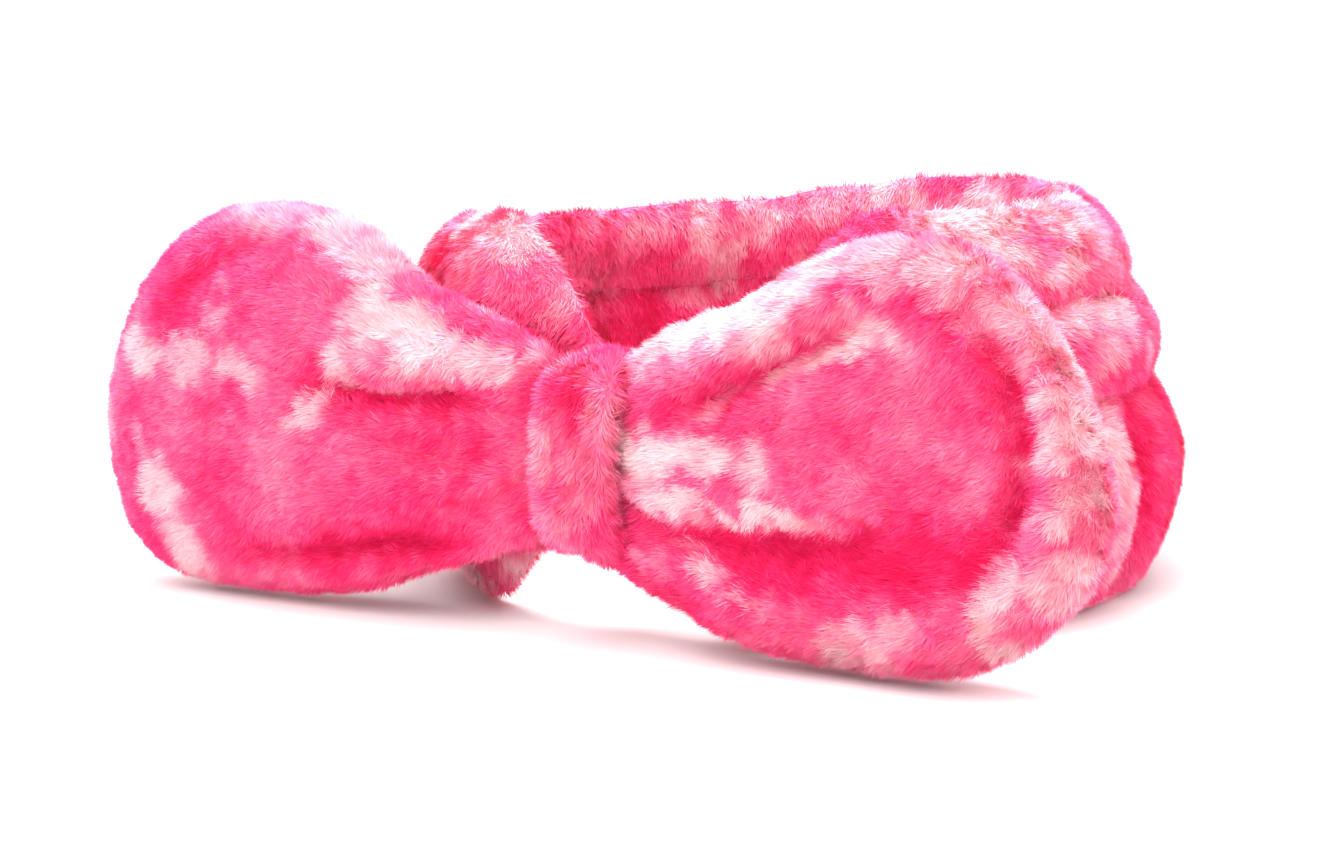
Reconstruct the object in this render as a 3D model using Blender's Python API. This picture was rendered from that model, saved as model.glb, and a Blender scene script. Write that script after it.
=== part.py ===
"""Plush spa headband: a stretch band with an elastic channel, and a padded bow held on by a knot wrap.

Frame: metres, +Z up, the bow faces -Y, the band stands on its lower edge at z = 0.
"""

import math

import bmesh
import bpy
from mathutils import Vector

MM = 0.001

# The band's middle surface, seen from above, is an ellipse about this centre.
RING_X = 0.0080
RING_Y = 0.0094
RING_HALF_WIDTH = 0.0750
RING_HALF_DEPTH = 0.0800
RING_STEPS = 48

# The band's section, in millimetres: height, lean of the middle surface, outer and inner thickness.
LOWER_ROW_Z = 48.0
UPPER_ROW_Z = 70.0
BAND_SECTION = (
    (0.0, 2.5, 4.0, 3.0),
    (3.0, 3.0, 7.0, 5.0),
    (12.0, 4.0, 9.0, 6.5),
    (26.0, 4.0, 9.5, 7.0),
    (39.0, 2.5, 7.0, 5.5),
    (LOWER_ROW_Z, 0.5, 2.0, 2.0),
    (53.0, 0.5, 5.0, 4.0),
    (59.0, 0.5, 6.5, 5.0),
    (65.0, -0.5, 5.0, 4.0),
    (UPPER_ROW_Z, -2.0, 2.0, 2.0),
    (75.0, -3.0, 5.0, 4.0),
    (81.0, -5.0, 6.0, 5.0),
    (87.0, -7.5, 5.0, 4.0),
    (91.5, -8.5, 2.2, 2.0),
)
ELASTIC_LOW = 51.0
ELASTIC_HIGH = 67.0
ELASTIC_HALF_THICKNESS = 0.5
CHANNEL_HALF_WIDTH = 0.9
PANEL_HALF_GAP = 0.15
THREAD = 0.7
CLEARANCE = 0.3

# Where the knot gathers the band, in degrees from the front, and what is left of it there.
# The left side bunches up close to the knot; the right side runs into it on a long slope.
LEFT_GATHER = (13.0, 26.0)
RIGHT_GATHER = (13.0, 46.0)
GATHERED_BOTTOM = 22.5
GATHERED_HEIGHT = 32.0
GATHERED_THICKNESS = 0.42

# The rear left of the band sits lower than the rest.
SAG = 8.0

# The band's sections, in degrees from the front.
FRONT_LIMIT = 52.5
REAR_LIMIT = 127.5
SECTION_GAP = 0.3

# The bow lies in one plane in front of the band; outlines are millimetres beside and above the knot.
BOW_Y = RING_Y - 0.0917
LEFT_OUTLINE = (
    (-14, 60), (-28, 68), (-42, 77), (-57, 86), (-78, 90), (-100, 87), (-119, 74), (-132, 54),
    (-135.6, 33), (-129, 12), (-114, 2), (-97, 0.5), (-78, 0.8), (-55, 4), (-34, 12), (-14, 23),
)
RIGHT_OUTLINE = (
    (14, 57), (23, 67), (38, 74.5), (55, 84.5), (73, 89.5), (90, 87), (104, 75), (114, 58),
    (119.6, 38), (116, 24), (105, 11), (91, 2.5), (74, 0.8), (56, 1), (37, 3.5), (14, 15),
)
LEFT_CENTRE = (-80, 44)
RIGHT_CENTRE = (73, 43)
LOOP_FRONT_DEPTH = 20.0
LOOP_BACK_DEPTH = 16.0
# A loop is shallower beside the knot, where the wrap pinches it and the band is close behind it:
# the share of its depth left there, and the distances between which it grows to its full depth.
FRONT_NECK = (0.62, 22.0, 50.0)
BACK_NECK = (0.45, 36.0, 72.0)
LOOP_RINGS = (1.0, 0.985, 0.93, 0.82, 0.64, 0.38)
CROWN_POWER = 2.6
RIM_HALF_GAP = 0.6
SKIN_KEEP = 0.84
SKIN_INSET = 0.95
PADDING_INSET = 0.93
SEAM_RING = 0.975
HINGE_REACH = 23.5

KNOT_HALF_WIDTH = 13.0
KNOT_FRONT = -110.0
KNOT_BACK = -71.5
KNOT_LOW = 16.5
KNOT_HIGH = 60.5
WRAP_THICKNESS = 2.6
WAIST_FRONT = -106.8
WAIST_BACK = -86.0
WAIST_LOW = 20.5
WAIST_HIGH = 56.5
KNOT_STEPS = 24
KNOT_SQUARENESS = 5.0

PLUSH_PINK = (0.93, 0.11, 0.26)
LINING_PINK = (0.88, 0.09, 0.24)
THREAD_PINK = (0.85, 0.16, 0.32)
ELASTIC_WHITE = (0.86, 0.85, 0.83)
PADDING_WHITE = (0.90, 0.89, 0.87)


def clear_scene():
    for item in list(bpy.data.objects):
        bpy.data.objects.remove(item)


def material(name, colour, roughness):
    made = bpy.data.materials.new(name)
    made.use_nodes = True
    shader = made.node_tree.nodes["Principled BSDF"]
    shader.inputs["Base Color"].default_value = (*colour, 1.0)
    shader.inputs["Roughness"].default_value = roughness
    shader.inputs["Metallic"].default_value = 0.0
    return made


def smooth_step(value, low, high):
    part = min(max((value - low) / (high - low), 0.0), 1.0)
    return part * part * (3 - 2 * part)


def add_object(name, mesh_builder, finish, pivot=None):
    """Wraps a built mesh in a named object whose origin is at its pivot."""
    bmesh.ops.recalc_face_normals(mesh_builder, faces=mesh_builder.faces)
    origin = Vector(pivot) if pivot else Vector((0, 0, 0))
    bmesh.ops.translate(mesh_builder, verts=mesh_builder.verts, vec=-origin)
    mesh = bpy.data.meshes.new(name)
    mesh_builder.to_mesh(mesh)
    mesh_builder.free()
    colour, roughness = finish
    mesh.materials.append(material(name + "_finish", colour, roughness))
    mesh.shade_smooth()
    mesh.set_sharp_from_angle(angle=math.radians(50))
    made = bpy.data.objects.new(name, mesh)
    made.location = origin
    bpy.context.scene.collection.objects.link(made)
    return made


def loft(sections, closed):
    """A closed solid through polygons of equal length: a ring when closed, else capped at both ends."""
    builder = bmesh.new()
    rows = [[builder.verts.new(point) for point in section] for section in sections]
    pairs = list(zip(rows, rows[1:]))
    if closed:
        pairs.append((rows[-1], rows[0]))
    for here, there in pairs:
        for k in range(len(here)):
            after = (k + 1) % len(here)
            builder.faces.new((here[k], here[after], there[after], there[k]))
    if not closed:
        builder.faces.new(rows[0])
        builder.faces.new(rows[-1])
    return builder


# ---- band ----------------------------------------------------------------------------------------


def gather(turn):
    """0 inside the knot, 1 where the band has its full height; turn is in degrees from the front."""
    away = (turn + 180.0) % 360.0 - 180.0
    tight, full = LEFT_GATHER if away < 0.0 else RIGHT_GATHER
    return smooth_step(abs(away), tight, full)


def sag(turn):
    """How far the band sits lower at this turn, in millimetres."""
    around = turn % 360.0
    rise = smooth_step(around, 170.0, 238.0)
    fall = smooth_step(around, 262.0, 322.0)
    return SAG * rise * (1.0 - fall)


def band_height(turn, height):
    """The real height of a point of the band's section: the lower lobe takes up the sag."""
    drop = sag(turn)
    if height < LOWER_ROW_Z:
        level = height * (LOWER_ROW_Z - drop) / LOWER_ROW_Z
    else:
        level = height - drop
    full = BAND_SECTION[-1][0]
    gathered = GATHERED_BOTTOM + height / full * GATHERED_HEIGHT
    share = gather(turn)
    return share * level + (1.0 - share) * gathered


def band_point(turn, height, offset):
    """A point at this turn, height and distance outside the middle ellipse (millimetres)."""
    angle = math.radians(turn)
    across = Vector((math.sin(angle) / RING_HALF_WIDTH, -math.cos(angle) / RING_HALF_DEPTH))
    across.normalize()
    x = RING_X + RING_HALF_WIDTH * math.sin(angle) + across.x * offset * MM
    y = RING_Y - RING_HALF_DEPTH * math.cos(angle) + across.y * offset * MM
    return (x, y, band_height(turn, height) * MM)


def band_lean(turn, height):
    """The middle surface's lean at a height, by straight runs between the section's rows."""
    for low, high in zip(BAND_SECTION, BAND_SECTION[1:]):
        if height <= high[0]:
            share = (height - low[0]) / (high[0] - low[0])
            return gather(turn) * (low[1] + share * (high[1] - low[1]))
    return gather(turn) * BAND_SECTION[-1][1]


def lobe(turn, thickness):
    """A panel's thickness at this turn; the knot squeezes it."""
    share = gather(turn)
    return max(thickness * (share + (1.0 - share) * GATHERED_THICKNESS), 1.6)


def panel_section(turn, side):
    """One panel's section at a turn: side is 1 for the outer panel and -1 for the inner one."""
    column = 2 if side > 0 else 3
    puffed = [
        band_point(turn, row[0], band_lean(turn, row[0]) + side * lobe(turn, row[column]))
        for row in BAND_SECTION
    ]
    top = BAND_SECTION[-1][0]
    facing = (
        (top, PANEL_HALF_GAP),
        (UPPER_ROW_Z, PANEL_HALF_GAP),
        (UPPER_ROW_Z - 2.0, CHANNEL_HALF_WIDTH),
        (LOWER_ROW_Z + 2.0, CHANNEL_HALF_WIDTH),
        (LOWER_ROW_Z, PANEL_HALF_GAP),
        (0.0, PANEL_HALF_GAP),
    )
    flat = [band_point(turn, z, band_lean(turn, z) + side * gap) for z, gap in facing]
    return puffed + flat


def turns(start, end):
    """Evenly spaced turns from start to end, in degrees."""
    count = max(2, round((end - start) / 360.0 * RING_STEPS))
    return [start + (end - start) * k / count for k in range(count + 1)]


def build_panels():
    trim = math.degrees(SECTION_GAP * MM / 2 / RING_HALF_WIDTH)
    sections = (
        ("front", -FRONT_LIMIT, FRONT_LIMIT),
        ("right_side", FRONT_LIMIT, REAR_LIMIT),
        ("rear", REAR_LIMIT, 360.0 - REAR_LIMIT),
        ("left_side", 360.0 - REAR_LIMIT, 360.0 - FRONT_LIMIT),
    )
    for place, start, end in sections:
        spots = turns(start + trim, end - trim)
        outer = loft([panel_section(turn, 1) for turn in spots], False)
        add_object(f"band_{place}_outer_panel", outer, (PLUSH_PINK, 0.9))
        inner = loft([panel_section(turn, -1) for turn in spots], False)
        add_object(f"band_{place}_inner_panel", inner, (LINING_PINK, 0.9))


def full_turn():
    return [360.0 * k / RING_STEPS for k in range(RING_STEPS)]


def build_elastic():
    """A flat woven strip, run through the channel all the way round."""
    sections = []
    for turn in full_turn():
        corners = (
            (ELASTIC_LOW, -ELASTIC_HALF_THICKNESS),
            (ELASTIC_LOW, ELASTIC_HALF_THICKNESS),
            (ELASTIC_HIGH, ELASTIC_HALF_THICKNESS),
            (ELASTIC_HIGH, -ELASTIC_HALF_THICKNESS),
        )
        sections.append([band_point(turn, z, band_lean(turn, z) + gap) for z, gap in corners])
    add_object("elastic_strip", loft(sections, True), (ELASTIC_WHITE, 0.8))


def build_row_thread(name, height, side):
    """One thread of a stitch row, lying in the groove on one face of the band."""
    column = 2 if side > 0 else 3
    depth = next(row[column] for row in BAND_SECTION if row[0] == height)
    sections = []
    for turn in full_turn():
        near = band_lean(turn, height) + side * (lobe(turn, depth) + CLEARANCE)
        x, y, z = band_point(turn, height, near)
        far_x, far_y, _ = band_point(turn, height, near + side * THREAD)
        half = THREAD / 2 * MM
        sections.append([(x, y, z), (far_x, far_y, z - half), (far_x, far_y, z + half)])
    add_object(name, loft(sections, True), (THREAD_PINK, 0.6))


def build_rear_seam():
    """The seam that closes the band, down the inner face at the rear and over the stitch rows."""
    turn = 180.0
    sections = []
    for height, _, _, inner in BAND_SECTION[1:-1]:
        over_row = THREAD + CLEARANCE if height in (LOWER_ROW_Z, UPPER_ROW_Z) else 0.0
        near = band_lean(turn, height) - lobe(turn, inner) - over_row - 2 * CLEARANCE
        x, y, z = band_point(turn, height, near)
        half = THREAD / 2 * MM
        depth = THREAD * MM
        sections.append([(x - half, y, z), (x + half, y, z), (x + half, y - depth, z), (x - half, y - depth, z)])
    add_object("band_rear_closing_seam", loft(sections, False), (THREAD_PINK, 0.6))


# ---- knot ----------------------------------------------------------------------------------------


def rounded(front, back, low, high, x):
    """A rounded rectangle in the plane at x; depths and heights are millimetres from the ring's centre."""
    points = []
    middle_y, half_y = (front + back) / 2, (back - front) / 2
    middle_z, half_z = (low + high) / 2, (high - low) / 2
    for k in range(KNOT_STEPS):
        angle = math.tau * k / KNOT_STEPS
        c, s = math.cos(angle), math.sin(angle)
        y = middle_y + half_y * math.copysign(abs(c) ** (2 / KNOT_SQUARENESS), c)
        z = middle_z + half_z * math.copysign(abs(s) ** (2 / KNOT_SQUARENESS), s)
        points.append((RING_X + x * MM, RING_Y + y * MM, z * MM))
    return points


def build_knot():
    """The wrap is a closed strap round the band and the bow's waist."""
    half, skin = KNOT_HALF_WIDTH, WRAP_THICKNESS
    loops = []
    for x, inset in ((-half, 0.0), (half, 0.0), (half, skin), (-half, skin)):
        edges = (KNOT_FRONT + inset, KNOT_BACK - inset, KNOT_LOW + inset, KNOT_HIGH - inset)
        loops.append(rounded(*edges, x))
    add_object("knot_wrap", loft(loops, True), (PLUSH_PINK, 0.9))
    stitch_y = KNOT_BACK + CLEARANCE
    stitch = [
        rounded(stitch_y, stitch_y + THREAD, 34.0, 43.0, x) for x in (-half + 2.0, half - 2.0)
    ]
    add_object("knot_wrap_closing_stitches", loft(stitch, False), (THREAD_PINK, 0.6))
    waist = [rounded(WAIST_FRONT, WAIST_BACK, WAIST_LOW, WAIST_HIGH, x) for x in (-13.4, 0.0, 13.4)]
    add_object("bow_waist", loft(waist, False), (PLUSH_PINK, 0.9))


# ---- bow loops -----------------------------------------------------------------------------------


def curve_point(before, here, there, after, share):
    """A point between here and there on the smooth curve through four points."""
    a, b, c, d = (Vector(p) for p in (before, here, there, after))
    t = share
    return 0.5 * (2 * b + (c - a) * t + (2 * a - 5 * b + 4 * c - d) * t * t + (3 * b - a - 3 * c + d) * t ** 3)


def smooth_outline(points):
    """Twice as many points along the outline, with the neck left straight."""
    made = []
    ends = len(points) - 1
    for k in range(ends):
        before = points[max(k - 1, 0)]
        after = points[min(k + 2, ends)]
        made.append(Vector(points[k]))
        made.append(curve_point(before, points[k], points[k + 1], after, 0.5))
    made.append(Vector(points[ends]))
    made.append((Vector(points[ends]) + Vector(points[0])) / 2)
    return made


def crown(scale):
    """Depth of the loop's face, from 0 at its rim to 1 at its centre."""
    return math.sqrt(max(0.0, 1.0 - scale ** CROWN_POWER))


def neck_share(x, neck):
    """How much of its full depth a loop has at this distance beside the knot."""
    pinched, start, end = neck
    return pinched + (1.0 - pinched) * smooth_step(abs(x), start, end)


def ring_points(outline, centre, scale, rim, depth):
    """The outline scaled about the centre, rim + depth behind (+) or before (-) the bow's plane."""
    middle = Vector(centre)
    placed = []
    for point in outline:
        x, z = middle + (point - middle) * scale
        share = neck_share(x, BACK_NECK if depth > 0 else FRONT_NECK)
        placed.append((RING_X + x * MM, BOW_Y + (rim + depth * share) * MM, z * MM))
    return placed


def add_face_rings(builder, rows, centre_point):
    """Joins rings of vertices from the rim to the centre and closes the centre with a fan."""
    for here, there in zip(rows, rows[1:]):
        for k in range(len(here)):
            after = (k + 1) % len(here)
            builder.faces.new((here[k], here[after], there[after], there[k]))
    tip = builder.verts.new(centre_point)
    last = rows[-1]
    for k in range(len(last)):
        builder.faces.new((last[k], last[(k + 1) % len(last)], tip))


def join_rims(builder, first, second):
    for k in range(len(first)):
        after = (k + 1) % len(first)
        builder.faces.new((first[k], first[after], second[after], second[k]))


def shell(outline, centre, side, depth):
    """One panel of a loop: a dish with an outer and an inner face that meet the seam plane."""
    builder = bmesh.new()
    faces = []
    for inset, keep in ((1.0, 1.0), (SKIN_INSET, SKIN_KEEP)):
        rows = []
        for scale in LOOP_RINGS:
            ring = ring_points(
                outline, centre, scale * inset, side * RIM_HALF_GAP, side * depth * keep * crown(scale)
            )
            rows.append([builder.verts.new(p) for p in ring])
        tip = ring_points([Vector(centre)], centre, 0.0, side * RIM_HALF_GAP, side * depth * keep)[0]
        add_face_rings(builder, rows, tip)
        faces.append(rows)
    join_rims(builder, faces[0][0], faces[1][0])
    return builder


def padding(outline, centre):
    """The soft core between a loop's two panels."""
    builder = bmesh.new()
    rims = []
    for side, depth in ((-1, LOOP_FRONT_DEPTH), (1, LOOP_BACK_DEPTH)):
        rows = []
        for scale in LOOP_RINGS:
            away = side * (depth * SKIN_KEEP - CLEARANCE) * crown(scale)
            ring = ring_points(outline, centre, scale * PADDING_INSET, side * CLEARANCE, away)
            rows.append([builder.verts.new(p) for p in ring])
        crest = side * (depth * SKIN_KEEP - CLEARANCE)
        tip = ring_points([Vector(centre)], centre, 0.0, side * CLEARANCE, crest)[0]
        add_face_rings(builder, rows, tip)
        rims.append(rows[0])
    join_rims(builder, rims[0], rims[1])
    return builder


def edge_thread(outline, centre):
    """The seam thread that joins a loop's two panels, all round the rim."""
    sections = []
    rim = ring_points(outline, centre, SEAM_RING, 0.0, 0.0)
    inner = ring_points(outline, centre, SEAM_RING - 0.008, 0.0, 0.0)
    for (x, y, z), (in_x, _, in_z) in zip(rim, inner):
        half = CLEARANCE * MM
        sections.append([(x, y, z), (in_x, y - half, in_z), (in_x, y + half, in_z)])
    return loft(sections, True)


def build_loop(side_name, points, centre, side):
    outline = smooth_outline(points)
    pivot = (RING_X + side * HINGE_REACH * MM, BOW_Y, centre[1] * MM)
    front = shell(outline, centre, -1, LOOP_FRONT_DEPTH)
    back = shell(outline, centre, 1, LOOP_BACK_DEPTH)
    add_object(f"{side_name}_loop_front_panel", front, (PLUSH_PINK, 0.9), pivot)
    add_object(f"{side_name}_loop_back_panel", back, (PLUSH_PINK, 0.9), pivot)
    add_object(f"{side_name}_loop_padding", padding(outline, centre), (PADDING_WHITE, 0.9), pivot)
    add_object(f"{side_name}_loop_edge_seam", edge_thread(outline, centre), (THREAD_PINK, 0.6), pivot)


def build():
    clear_scene()
    build_panels()
    build_elastic()
    build_row_thread("lower_row_needle_thread", LOWER_ROW_Z, 1)
    build_row_thread("lower_row_bobbin_thread", LOWER_ROW_Z, -1)
    build_row_thread("upper_row_needle_thread", UPPER_ROW_Z, 1)
    build_row_thread("upper_row_bobbin_thread", UPPER_ROW_Z, -1)
    build_rear_seam()
    build_knot()
    build_loop("left", LEFT_OUTLINE, LEFT_CENTRE, -1)
    build_loop("right", RIGHT_OUTLINE, RIGHT_CENTRE, 1)


build()
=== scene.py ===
"""Looks of a plush spa headband: tie-dyed skins, a pile of real fibres, seams and an elastic strip."""

import math

import bpy
import numpy as np
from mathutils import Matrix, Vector


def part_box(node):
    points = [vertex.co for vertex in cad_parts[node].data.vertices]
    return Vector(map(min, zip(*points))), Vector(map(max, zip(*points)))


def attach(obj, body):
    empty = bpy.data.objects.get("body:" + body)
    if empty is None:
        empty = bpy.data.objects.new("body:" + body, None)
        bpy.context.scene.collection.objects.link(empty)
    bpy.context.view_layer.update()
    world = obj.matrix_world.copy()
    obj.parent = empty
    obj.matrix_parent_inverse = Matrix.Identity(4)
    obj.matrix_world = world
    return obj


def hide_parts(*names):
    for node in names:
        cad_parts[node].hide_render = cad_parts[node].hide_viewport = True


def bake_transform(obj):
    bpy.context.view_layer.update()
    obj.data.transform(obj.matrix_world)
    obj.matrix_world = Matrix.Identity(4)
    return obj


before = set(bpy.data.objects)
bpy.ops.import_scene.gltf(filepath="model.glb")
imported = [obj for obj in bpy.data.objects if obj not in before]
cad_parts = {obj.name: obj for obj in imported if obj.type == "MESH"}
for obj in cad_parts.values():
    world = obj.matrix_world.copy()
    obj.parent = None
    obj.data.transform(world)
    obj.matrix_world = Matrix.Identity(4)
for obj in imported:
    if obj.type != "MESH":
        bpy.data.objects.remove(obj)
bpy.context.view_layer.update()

MM = 0.001
SEED = 20

# Places read from the frame, in millimetres.
knot_low, knot_high = (np.array(c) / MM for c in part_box("knot_wrap"))
strip_low, strip_high = (np.array(c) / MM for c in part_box("elastic_strip"))
seam_low, seam_high = (np.array(c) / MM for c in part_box("left_loop_edge_seam"))
KNOT_X = (knot_low[0] + knot_high[0]) / 2
KNOT_SHIFT = 3.4
KNOT_HALF_WIDTH = 8.8
RING_X = (strip_low[0] + strip_high[0]) / 2
RING_Y = (strip_low[1] + strip_high[1]) / 2
RING_HALF_WIDTH = (strip_high[0] - strip_low[0]) / 2 - 1.0
RING_HALF_DEPTH = (strip_high[1] - strip_low[1]) / 2 - 1.0
BOW_Y = (seam_low[1] + seam_high[1]) / 2
BAND_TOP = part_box("band_rear_outer_panel")[1].z / MM


# ---- small maths ----


def ease(value, low, high):
    part = np.clip((value - low) / (high - low), 0.0, 1.0)
    return part * part * (3.0 - 2.0 * part)


def hill(value, start, rise, fall, end):
    """1 between rise and fall, easing to 0 at start and end."""
    return ease(value, start, rise) * (1.0 - ease(value, fall, end))


def cell_value(cells, seed):
    """A repeatable number from 0 to 1 for each whole-number cell."""
    mixed = cells.astype(np.int64) @ np.array((73856093, 19349663, 83492791), np.int64)
    mixed = (mixed + seed * 374761393) & 0xFFFFFFFF
    mixed = ((mixed ^ (mixed >> 15)) * 2246822519) & 0xFFFFFFFF
    mixed = ((mixed ^ (mixed >> 13)) * 3266489917) & 0xFFFFFFFF
    return (mixed ^ (mixed >> 16)) / 0xFFFFFFFF


def noise(points, size, seed):
    """Smooth noise from -1 to 1, with cells of this size (millimetres)."""
    scaled = np.asarray(points, float) / size
    base = np.floor(scaled)
    part = scaled - base
    part = part * part * (3.0 - 2.0 * part)
    total = np.zeros(len(scaled))
    for corner in range(8):
        step = np.array((corner & 1, corner >> 1 & 1, corner >> 2 & 1))
        weight = np.prod(np.where(step, part, 1.0 - part), axis=1)
        total += weight * cell_value(base + step, seed)
    return total * 2.0 - 1.0


def layered_noise(points, size, seed):
    """Three layers of noise, each finer and weaker than the one before."""
    total = np.zeros(len(points))
    for k in range(3):
        total += noise(points, size / 2**k, seed + 31 * k) * 0.5**k
    return total / 1.75


def dot(a, b):
    """Dot products of the rows of two arrays."""
    return np.einsum("ij,ij->i", a, b)


def unit(vectors):
    length = np.linalg.norm(vectors, axis=-1, keepdims=True)
    return vectors / np.maximum(length, 1e-9)


def places(x, y, z):
    """Rows of three coordinates; a single number goes into every row."""
    return np.stack(np.broadcast_arrays(x, y, z), axis=1)


def linear(*screen):
    """Red, green and blue from 0 to 255, as on a screen, turned into Blender's linear values."""
    shares = [c / 255.0 for c in screen]
    return tuple(c / 12.92 if c < 0.04 else ((c + 0.055) / 1.055) ** 2.4 for c in shares)


# ---- dye and painted shade ----

# Colours of the dye from its deepest to its lightest, with the dye value where each is reached.
DYE_STOPS = (0.0, 0.18, 0.38, 0.58, 0.78, 1.0)
DYE_COLOURS = np.array([linear(*screen) for screen in (
    (240, 14, 91), (249, 50, 122), (252, 96, 150), (253, 142, 174), (253, 180, 194), (253, 212, 216),
)])
# A spot's edge fades out between these shares of its half width and half height.
SPOT_FADE = (0.5, 1.3)


def dye_colour(value):
    return np.stack([np.interp(value, DYE_STOPS, DYE_COLOURS[:, k]) for k in range(3)], axis=-1)


def spots_value(points, across, spots):
    """How light each point is: spots are (across, up, half width, half height, tilt, strength)."""
    wobble_x, wobble_z = (3.2 * noise(points, 5.6, k) + 1.5 * noise(points, 2.4, k + 2) for k in (71, 72))
    value = np.zeros(len(points))
    for x, z, wide, tall, tilt, strength in spots:
        c, s = math.cos(math.radians(tilt)), math.sin(math.radians(tilt))
        dx, dz = across - x + wobble_x, points[:, 2] - z + wobble_z
        distance = np.hypot((dx * c + dz * s) / wide, (dz * c - dx * s) / tall)
        value = np.maximum(value, strength * (1.0 - ease(distance, *SPOT_FADE)))
    streaks = 1.1 + 0.75 * noise(points, 4.4, 75) + 0.3 * noise(points, 1.8, 76)
    return value * np.clip(streaks, 0.08, 1.0)


def random_patches(points, seed):
    """Light blotches for the sides that have no chosen spots."""
    field = layered_noise(points, 17.0, seed)
    return 0.85 * ease(field, 0.16, 0.42)


def mix_dye(points, light):
    """The final dye value: mottled pink ground under the light patches."""
    ground = 0.335 + 0.32 * layered_noise(points, 13.0, 5) + 0.08 * noise(points, 2.4, 9)
    return np.clip(ground + (1.0 - ground) * light, 0.0, 1.0)


# Spots on the loops: across from the knot, height, half width, half height, tilt, strength.
LEFT_SPOTS = (
    (-80, 86, 13, 5, 5, 0.5), (-62, 84, 8, 5, -20, 0.65), (-50, 77, 7, 4, -35, 0.7),
    (-45, 66, 9, 7, -30, 0.95), (-35, 61, 10, 6, -25, 0.9), (-52, 55, 6, 5, 0, 0.9),
    (-25, 59, 8, 4, -10, 0.8), (-40, 53, 8, 3, 0, 0.7), (-110, 56, 8, 4, 0, 0.85), (-96, 57, 8, 6, 10, 0.75),
    (-81, 54, 9, 5, -20, 0.8), (-87, 66, 4, 5, 0, 0.5), (-107, 25, 7, 9, 10, 0.9), (-101, 10, 7, 8, 40, 0.85),
    (-112, 36, 4, 6, 0, 0.5), (-61, 45, 7, 3, 20, 0.75), (-126, 46, 4, 14, 8, 0.45), (-15, 58, 6, 4, 0, 0.7),
    (-30, 33, 5, 3, 0, 0.2),
)
RIGHT_SPOTS = (
    (22, 66, 9, 5, 40, 0.75), (36, 71, 15, 6, 27, 1.3), (47, 75, 10, 5, 28, 1.1), (60, 81, 9, 6, 22, 0.85),
    (74, 85, 9, 6, 5, 0.7), (88, 83, 8, 6, -30, 0.75), (98, 75, 7, 6, -50, 0.7), (68, 73, 8, 3, 15, 0.6),
    (52, 71, 10, 4, 33, 1.0), (72, 69, 10, 4, 10, 1.0), (61, 66, 7, 2.5, 35, 0.9), (50, 60, 6, 2.5, 35, 0.8),
    (40, 55, 5, 2, 30, 0.6), (21, 43, 11, 5, 0, 1.3), (36, 44, 9, 4, 0, 1.0), (48, 42, 5, 5, 0, 0.85),
    (28, 34, 11, 4, 0, 1.0), (50, 32, 15, 3.5, 0, 1.1), (109, 61, 8, 4, 20, 0.9), (115, 53, 5, 6, 0, 1.0),
    (107, 50, 6, 3, 0, 0.75), (117, 42, 5, 6, 0, 0.95), (110, 37, 7, 2.5, 0, 0.8), (114, 30, 4, 3, 0, 0.85),
    (105, 24, 9, 3, 20, 0.9), (99, 18, 3.5, 8, 0, 0.85), (103, 10, 6, 4, 20, 0.9), (111, 23, 4, 5, 0, 0.7),
    (71, 8, 10, 6, 20, 0.85), (80, 14, 6, 4, 0, 0.6), (36, 21, 9, 2.5, -20, 0.8), (45, 16, 6, 2.5, -20, 0.6),
    (20, 20, 5, 3, 0, 0.4), (104, 68, 5, 3, 30, 0.6),
)
# Painted shade: places where the colour is made deeper, in the same form; they lie in and beside the creases,
# where shade falls.
LEFT_PAINTED_SHADE = (
    (-98, 42, 22, 30, 0, 0.07), (-82, 73, 18, 6, 0, 0.07), (-50, 16, 30, 3, 3, 0.04),
    (-30, 30, 14, 6, 0, 0.1), (-42, 50, 14, 2, 0, 0.15),
)
RIGHT_PAINTED_SHADE = (
    (66, 22, 24, 5, 3, 0.26), (92, 62, 10, 12, 0, 0.12), (20, 52, 8, 5, 0, 0.15), (92, 30, 10, 6, 0, 0.1),
)
# Spots on the band: degrees from the front, height, half width in degrees, half height.
BAND_OUTER_SPOTS = (
    (88, 91, 26, 5, 0, 0.95), (58, 86, 12, 6, 0, 0.9), (70, 90, 17, 6, 0, 0.95), (86, 86, 8, 5, 0, 0.8),
    (66, 80, 11, 5, 0, 0.85), (80, 76, 9, 3, 0, 0.8), (95, 83, 8, 5, 0, 0.45), (74, 66, 5, 3, 0, 0.6),
    (80, 68, 6, 2.5, 0, 0.75), (92, 65, 6, 4, 0, 0.75), (84, 58, 6, 4, 0, 0.55), (100, 58, 6, 4, 0, 0.5),
    (82, 36, 5, 15, 0, 0.9), (84, 15, 6, 8, 0, 0.65), (104, 26, 5, 3, 0, 0.45), (340, 84, 8, 4, 0, 0.75),
    # The spots at 322 and 343 degrees, low under the left loop, are light dye made stronger to lift the shade
    # there: partly painted light.
    (325, 84, 9, 4, 0, 0.7), (352, 72, 5, 5, 0, 0.45), (325, 60, 7, 5, 0, 0.4), (322, 6, 10, 6, 0, 0.8),
    (343, 10, 9, 6, 0, 0.8),
)
# Painted shade on the outer face, in the same form: deeper colour in the deep fold at 91 degrees, on the
# shaded side beside it and on the puff beside the knot.
BAND_OUTER_PAINTED_SHADE = ((106, 28, 13, 24, 0, 0.26), (92, 30, 3, 20, 0, 0.3), (338, 62, 12, 8, 0, 0.12))
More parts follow.
